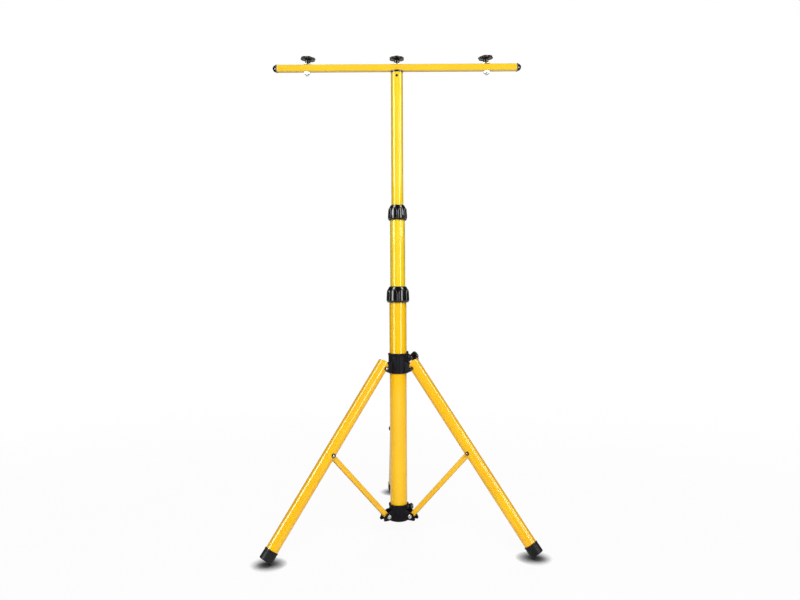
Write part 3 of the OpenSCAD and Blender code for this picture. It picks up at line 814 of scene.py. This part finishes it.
def strut_section():
    """Paired rows of the pressed U: down one wall, round the back and up the other."""
    half_d, half_w, wall, bend = STRUT_D / 2, STRUT_W / 2, 1.5 * MM, 2.2 * MM
    outer, inner = [(half_d, -half_w)], [(half_d, -half_w + wall)]
    for sign, start in ((-1, -math.pi / 2), (1, math.pi)):
        for i in range(9):
            angle = start - math.pi / 2 * i / 8
            centre = Vector((-half_d + bend, sign * (half_w - bend)))
            ray = Vector((math.cos(angle), math.sin(angle)))
            outer.append(tuple(centre + ray * bend))
            inner.append(tuple(centre + ray * (bend - wall)))
    outer.append((half_d, half_w))
    inner.append((half_d, half_w - wall))
    return outer, inner


def build_strut(side):
    at = strut_frame(side)
    half = STRUT_D / 2
    outer, inner = strut_section()
    rows = []
    for section in (outer, inner):
        dense = []
        for a, b in zip(section, section[1:]):
            parts = 8 if abs(b[0] - a[0]) > 4 * MM else 1
            dense += [tuple(Vector(a).lerp(Vector(b), k / parts)) for k in range(parts)]
        rows.append(dense + [section[-1]])

    def bulge(x):
        return math.sqrt(max(0.0, half ** 2 - min(half, abs(x)) ** 2))

    bm = sweep(bmesh.new(), rows[0], rows[1], lambda x: -bulge(x), lambda x: STRUT_L + bulge(x), 4)
    piece = add_piece(side + "_strut_channel", bm, side + "_strut", STRUT_YELLOW, ["strut_" + side],
                      at)
    bevel(piece, 0.3 * MM, 2, 40)


# ---------------------------------------------------------------- collars
def add_block(bm, outline, half_width, matrix):
    """Prism of an (x, z) outline, half_width either side of the xz plane."""
    sides = []
    for y in (-half_width, half_width):
        sides.append([bm.verts.new(matrix @ Vector((x, y, z))) for x, z in outline])
    bm.faces.new(sides[0])
    bm.faces.new(sides[1][::-1])
    count = len(outline)
    for i in range(count):
        j = (i + 1) % count
        bm.faces.new((sides[0][j], sides[0][i], sides[1][i], sides[1][j]))


def add_rod(bm, radius, z0, z1, matrix, steps=48, top=None):
    """Closed cylinder or cone about local Z."""
    rings = []
    for r, z in ((radius, z0), (top if top else radius, z1)):
        rings.append([bm.verts.new(matrix @ Vector((r * math.cos(2 * math.pi * i / steps),
                                                    r * math.sin(2 * math.pi * i / steps),
                                                    z))) for i in range(steps)])
    bm.faces.new(rings[0][::-1])
    bm.faces.new(rings[1])
    for i in range(steps):
        j = (i + 1) % steps
        bm.faces.new((rings[0][i], rings[0][j], rings[1][j], rings[1][i]))


def scratch_object(name, bm):
    bmesh.ops.recalc_face_normals(bm, faces=bm.faces)
    mesh = bpy.data.meshes.new(name)
    bm.to_mesh(mesh)
    bm.free()
    thing = bpy.data.objects.new(name, mesh)
    bpy.context.scene.collection.objects.link(thing)
    return thing


def moulded(name, solids, hollows, body, material, nodes, voxel):
    """Fuses overlapping solids, cuts hollows out and softens every edge, as one moulding."""
    cutters = []
    work = scratch_object(name + "_work", solids)
    fuse = work.modifiers.new("fuse", "REMESH")
    fuse.mode = "VOXEL"
    fuse.voxel_size = voxel
    for i, hollow in enumerate(hollows):
        cutter = scratch_object(f"{name}_cut_{i}", hollow)
        cutters.append(cutter)
        cut = work.modifiers.new("cut", "BOOLEAN")
        cut.operation = "DIFFERENCE"
        cut.object = cutter
        cut.solver = "EXACT"
    again = work.modifiers.new("again", "REMESH")
    again.mode = "VOXEL"
    again.voxel_size = voxel
    soften = work.modifiers.new("soften", "SMOOTH")
    soften.factor = 0.5
    soften.iterations = 4
    graph = bpy.context.evaluated_depsgraph_get()
    graph.update()
    mesh = bpy.data.meshes.new_from_object(work.evaluated_get(graph))
    for thing in (work, *cutters):
        bpy.data.objects.remove(thing)
    bm = bmesh.new()
    bm.from_mesh(mesh)
    return add_piece(name, bm, body, material, nodes, angle=70)


def build_leg_collar():
    z0, ear_z = span("leg_collar")
    z1 = ear_z - 4.3 * MM
    r = OUTER_R + 3 * MM
    solids = bmesh.new()
    add_rod(solids, r, z0, z1, MAST, 96)
    for low, high in ((z0, z0 + 3.5 * MM), (z1 - 4 * MM, z1)):
        add_rod(solids, r + 0.9 * MM, low, high, MAST, 96)
    for side in SIDES:
        azimuth = leg_azimuth(side)[0]
        turn = Matrix.Rotation(azimuth, 4, "Z")
        outline = [(r - 2 * MM, z0), (PIVOT_R - 4 * MM, PIVOT_Z - LUG_R + 1 * MM),
                   (PIVOT_R, PIVOT_Z),
                   (PIVOT_R - 2 * MM, PIVOT_Z + LUG_R - 0.5 * MM), (r - 2 * MM, PIVOT_Z + 14 * MM)]
        add_block(solids, outline, LUG_W / 2, turn)
        pin = turn @ Matrix.Translation((PIVOT_R, 0, PIVOT_Z)) @ Matrix.Rotation(math.pi / 2, 4,
                                                                                 "X")
        add_rod(solids, LUG_R, -LUG_W / 2, LUG_W / 2, pin)
        rib_turn = math.radians(60)
        rib = turn @ Matrix.Rotation(rib_turn, 4, "Z")
        if abs(math.remainder(azimuth + rib_turn - CLAMP_AZ, 2 * math.pi)) > 0.3:
            add_block(solids, [(r - 1 * MM, z0 + 2 * MM), (r + 1.6 * MM, z0 + 2 * MM),
                               (r + 1.6 * MM, z1 - 2 * MM), (r - 1 * MM, z1 - 2 * MM)], 1.4 * MM,
                      rib)
    add_rod(solids, 10 * MM, 18 * MM, 31 * MM, clamp_frame(CLAMP_Z))
    ear = Matrix.Rotation(CLAMP_AZ, 4, "Z")
    add_block(solids, [(OUTER_R - 1 * MM, CLAMP_Z), (OUTER_R + 6 * MM, CLAMP_Z), (OUTER_R + 6 * MM,
                                                                                  ear_z - 2 * MM),
                       (OUTER_R + 4 * MM, ear_z), (OUTER_R - 1 * MM, ear_z)], 6 * MM, ear)
    hollow = bmesh.new()
    add_rod(hollow, OUTER_R + 0.3 * MM, z0 - 5 * MM, z1 + 5 * MM, MAST, 128)
    mouth = bmesh.new()
    add_rod(mouth, 4.5 * MM, 15 * MM, 35 * MM, clamp_frame(CLAMP_Z))
    moulded("leg_collar_moulding", solids, [hollow, mouth], "collar", MATT_BLACK, ["leg_collar"],
            VOXEL)


def build_base_collar():
    z0, z1 = span("base_collar")
    r = OUTER_R + 3 * MM
    solids = bmesh.new()
    add_rod(solids, r, z0, z1, MAST, 96)
    add_rod(solids, r + 0.8 * MM, z1 - 4 * MM, z1, MAST, 96)
    slots = bmesh.new()
    for side in SIDES:
        turn = Matrix.Rotation(leg_azimuth(side)[0], 4, "Z")
        outline = [(r - 3 * MM, BASE_Z - 9.5 * MM), (BASE_R + 11 * MM, BASE_Z - 9.5 * MM),
                   (BASE_R + 13 * MM, BASE_Z - 5.5 * MM), (BASE_R + FORK_R, BASE_Z + 6 * MM),
                   (BASE_R - FORK_R, BASE_Z + 13 * MM), (r - 3 * MM, BASE_Z + 13 * MM)]
        add_block(solids, outline, FORK_OUT / 2, turn)
        add_rod(solids, FORK_R, -FORK_OUT / 2, FORK_OUT / 2,
                turn @ Matrix.Translation((BASE_R, 0, BASE_Z)) @ Matrix.Rotation(math.pi / 2, 4,
                                                                                 "X"))
        add_block(slots, [(r + 0.5 * MM, BASE_Z - 20 * MM), (r + 30 * MM, BASE_Z - 20 * MM),
                          (r + 30 * MM, BASE_Z + 25 * MM), (r + 0.5 * MM, BASE_Z + 25 * MM)],
                  FORK_IN / 2, turn)
    screw_z = sum(span("base_screw")) / 2
    add_rod(solids, 7 * MM, 18 * MM, 25 * MM, clamp_frame(screw_z))
    hollow = bmesh.new()
    add_rod(hollow, OUTER_R + 0.2 * MM, z0 - 5 * MM, z1 + 5 * MM, MAST, 128)
    moulded("base_collar_moulding", solids, [slots, hollow], "mast_base", MATT_BLACK,
            ["base_collar"], VOXEL)
    at = clamp_frame(screw_z)
    profile = rounded([(0, 20 * MM), (2.5 * MM, 20 * MM), (2.5 * MM, 30 * MM, 0),
                       (5.8 * MM, 30 * MM, 0.6 * MM),
                       (7.2 * MM, 36.5 * MM, 1.2 * MM), (6 * MM, 38 * MM, 1 * MM), (0, 37.6 * MM)],
                      0.5 * MM, 5)

    def knurl(radius, z, angle):
        if radius <= 5.5 * MM:
            return radius
        return radius - 0.25 * MM * (0.5 + 0.5 * math.cos(24 * angle))

    add_piece("base_thumb_screw", lathe(bmesh.new(), profile, 144, knurl), "mast_base", BLACK,
              ["base_screw"], at)
    for i, side in enumerate(SIDES):
        turn = Matrix.Rotation(leg_azimuth(side)[0], 4,
                               "Z") @ Matrix.Translation((BASE_R, 0, BASE_Z))
        out = turn @ Matrix.Rotation(math.pi / 2, 4, "X")
        button_bolt(side + "_base_bolt", "mast_base", out, FORK_OUT / 2, -FORK_OUT / 2,
                    nodes=["strut_base_bolts"] if i == 0 else [])
        hex_nut(side + "_base_nut", "mast_base", turn @ Matrix.Rotation(-math.pi / 2, 4, "X"),
                FORK_OUT / 2, 3 * MM,
                9.2 * MM, 2.9 * MM, ["strut_base_nuts"] if i == 0 else [])
        threaded_rod(side + "_base_bolt_end", "mast_base",
                     turn @ Matrix.Rotation(-math.pi / 2, 4, "X"),
                     FORK_OUT / 2 - 1 * MM, FORK_OUT / 2 + 4 * MM, 2.95 * MM)


def build_collar_fasteners():
    head_z = LEG_R + 0.3 * MM
    for i, side in enumerate(SIDES):
        turn = Matrix.Rotation(leg_azimuth(side)[0], 4,
                               "Z") @ Matrix.Translation((PIVOT_R, 0, PIVOT_Z))
        button_bolt(side + "_pivot_bolt", "collar", turn @ Matrix.Rotation(math.pi / 2, 4, "X"),
                    head_z, -head_z, 4.6 * MM, 2.6 * MM,
                    nodes=["leg_pivot_bolts"] if i == 0 else [], metal=DARK_STEEL)
        hex_nut(side + "_pivot_nut", "collar", turn @ Matrix.Rotation(-math.pi / 2, 4, "X"), head_z,
                3 * MM,
                9.2 * MM, 2.9 * MM, ["leg_pivot_nuts"] if i == 0 else [], DARK_STEEL)
        threaded_rod(side + "_pivot_bolt_end", "collar",
                     turn @ Matrix.Rotation(-math.pi / 2, 4, "X"),
                     head_z - 1 * MM, head_z + 4 * MM, 2.95 * MM)
    at = clamp_frame(CLAMP_Z)
    star_knob("clamp_star_knob", "leg_clamp", at, 36 * MM, 14 * MM, 6 * MM, 4 * MM, 11 * MM,
              ["clamp_knob"])
    threaded_rod("clamp_screw", "leg_clamp", at, OUTER_R + 1.6 * MM, OUTER_R + 27.6 * MM, 4 * MM,
                 ["clamp_stud"])


# ---------------------------------------------------------------- carried-over CAD nodes
def dress_cad_nodes():
    for entry in frame["record"]["subparts"]:
        node = frame["nodes"][entry["node"]]
        material = FINISH[entry["material_slot"]]
        for slot in node.material_slots:
            slot.material = material


# ---------------------------------------------------------------- stage
def add_floor():
    bm = bmesh.new()
    bmesh.ops.create_grid(bm, x_segments=1, y_segments=1, size=4)
    mesh = bpy.data.meshes.new("floor")
    bm.to_mesh(mesh)
    bm.free()
    n = Nodes("studio floor")
    n.set(Roughness=0.9, Specular_IOR_Level=0.0)
    n.shader.inputs["Base Color"].default_value = (0.86, 0.86, 0.86, 1)
    # Painted contact shadow: ambient occlusion within 28 mm, raised to the fifth power, darkens the
    # floor's camera-only glow under the feet.
    contact_shadow_ao = n.new("ShaderNodeAmbientOcclusion", samples=16)
    contact_shadow_ao.inputs["Distance"].default_value = 0.028
    power = n.new("ShaderNodeMath", operation="POWER")
    power.inputs[1].default_value = 5.0
    n.link(contact_shadow_ao.outputs["AO"], power.inputs[0])
    glow = n.new("ShaderNodeEmission")
    glow.inputs["Color"].default_value = (1, 1, 1, 1)
    n.link(power.outputs[0], glow.inputs["Strength"])
    even = n.new("ShaderNodeMixShader")
    distance = n.new("ShaderNodeVectorMath", operation="LENGTH")
    n.link(n.position, distance.inputs[0])
    far = n.ramp(distance.outputs["Value"], 0.5, 2.4)
    n.link(n.scale(far, 0.92, 1.0), even.inputs["Fac"])
    n.link(n.shader.outputs["BSDF"], even.inputs[1])
    n.link(glow.outputs["Emission"], even.inputs[2])
    seen = n.new("ShaderNodeMixShader")
    n.link(n.new("ShaderNodeLightPath").outputs["Is Camera Ray"], seen.inputs["Fac"])
    n.link(n.shader.outputs["BSDF"], seen.inputs[1])
    n.link(even.outputs["Shader"], seen.inputs[2])
    n.link(seen.outputs["Shader"], n.tree.nodes["Material Output"].inputs["Surface"])
    mesh.materials.append(n.material)
    floor = bpy.data.objects.new("floor", mesh)
    bpy.context.scene.collection.objects.link(floor)


def add_light(name, azimuth, height, distance, width, tall, power, shiny, matt, aim=(0, 0, 0.55)):
    """Softbox at an azimuth from the camera's side, aimed at the stand."""
    data = bpy.data.lights.new(name, "AREA")
    data.shape = "RECTANGLE"
    data.size, data.size_y = width, tall
    data.energy = power
    light = bpy.data.objects.new(name, data)
    a = math.radians(azimuth)
    light.location = (distance * math.sin(a), -distance * math.cos(a), height)
    light.rotation_euler = (Vector(aim) - light.location).to_track_quat("-Z", "Y").to_euler()
    light.visible_glossy = shiny
    light.visible_diffuse = matt
    bpy.context.scene.collection.objects.link(light)


def add_world():
    """White to the camera, soft to matt surfaces and dark to shiny ones."""
    world = bpy.data.worlds.new("studio")
    bpy.context.scene.world = world
    world.use_nodes = True
    tree = world.node_tree
    path = tree.nodes.new("ShaderNodeLightPath")
    last = tree.nodes["Background"]
    last.inputs["Color"].default_value = (0.3, 0.3, 0.31, 1)
    for ray, level in (("Is Glossy Ray", 0.05), ("Is Camera Ray", 1.0)):
        layer = tree.nodes.new("ShaderNodeBackground")
        layer.inputs["Color"].default_value = (level, level, level, 1)
        mix = tree.nodes.new("ShaderNodeMixShader")
        tree.links.new(path.outputs[ray], mix.inputs["Fac"])
        tree.links.new(last.outputs[0], mix.inputs[1])
        tree.links.new(layer.outputs[0], mix.inputs[2])
        last = mix
    tree.links.new(last.outputs[0], tree.nodes["World Output"].inputs["Surface"])


def add_camera():
    data = bpy.data.cameras.new("camera")
    data.lens = 30.04
    data.sensor_width = 36
    data.clip_end = 50
    camera = bpy.data.objects.new("camera", data)
    camera.location = (0.0122, -1.573, 0.5765)
    camera.rotation_euler = (math.radians(90 - 0.865), math.radians(0.27), math.radians(0.258))
    bpy.context.scene.collection.objects.link(camera)
    bpy.context.scene.camera = camera


add_camera()
dress_cad_nodes()
build_tubes()
build_locks()
build_crossbar()
build_leg_collar()
build_base_collar()
build_collar_fasteners()
for leg_side in SIDES:
    build_leg(leg_side)
    build_strut(leg_side)
add_floor()
add_light("left mast strip", -55, 1.2, 2.4, 0.6, 1.8, 34, True, False, (0, 0, 1.2))
add_light("right mast strip", 42, 1.2, 2.6, 0.5, 1.8, 30, True, False, (0, 0, 1.2))
add_light("left leg strip", -66, 2.0, 1.8, 0.7, 2.2, 46, True, False, (0, 0, 0.3))
add_light("right leg strip", 72, 2.0, 1.8, 0.6, 2.2, 40, True, False, (0, 0, 0.3))
add_light("front fill", 5, 1.7, 2.6, 2.2, 2.0, 73, False, True)
add_light("rear fill", 175, 1.9, 2.8, 2.2, 2.0, 50, False, True)
add_world()
scene = bpy.context.scene
scene.view_settings.view_transform = "Standard"
scene.view_settings.look = "None"
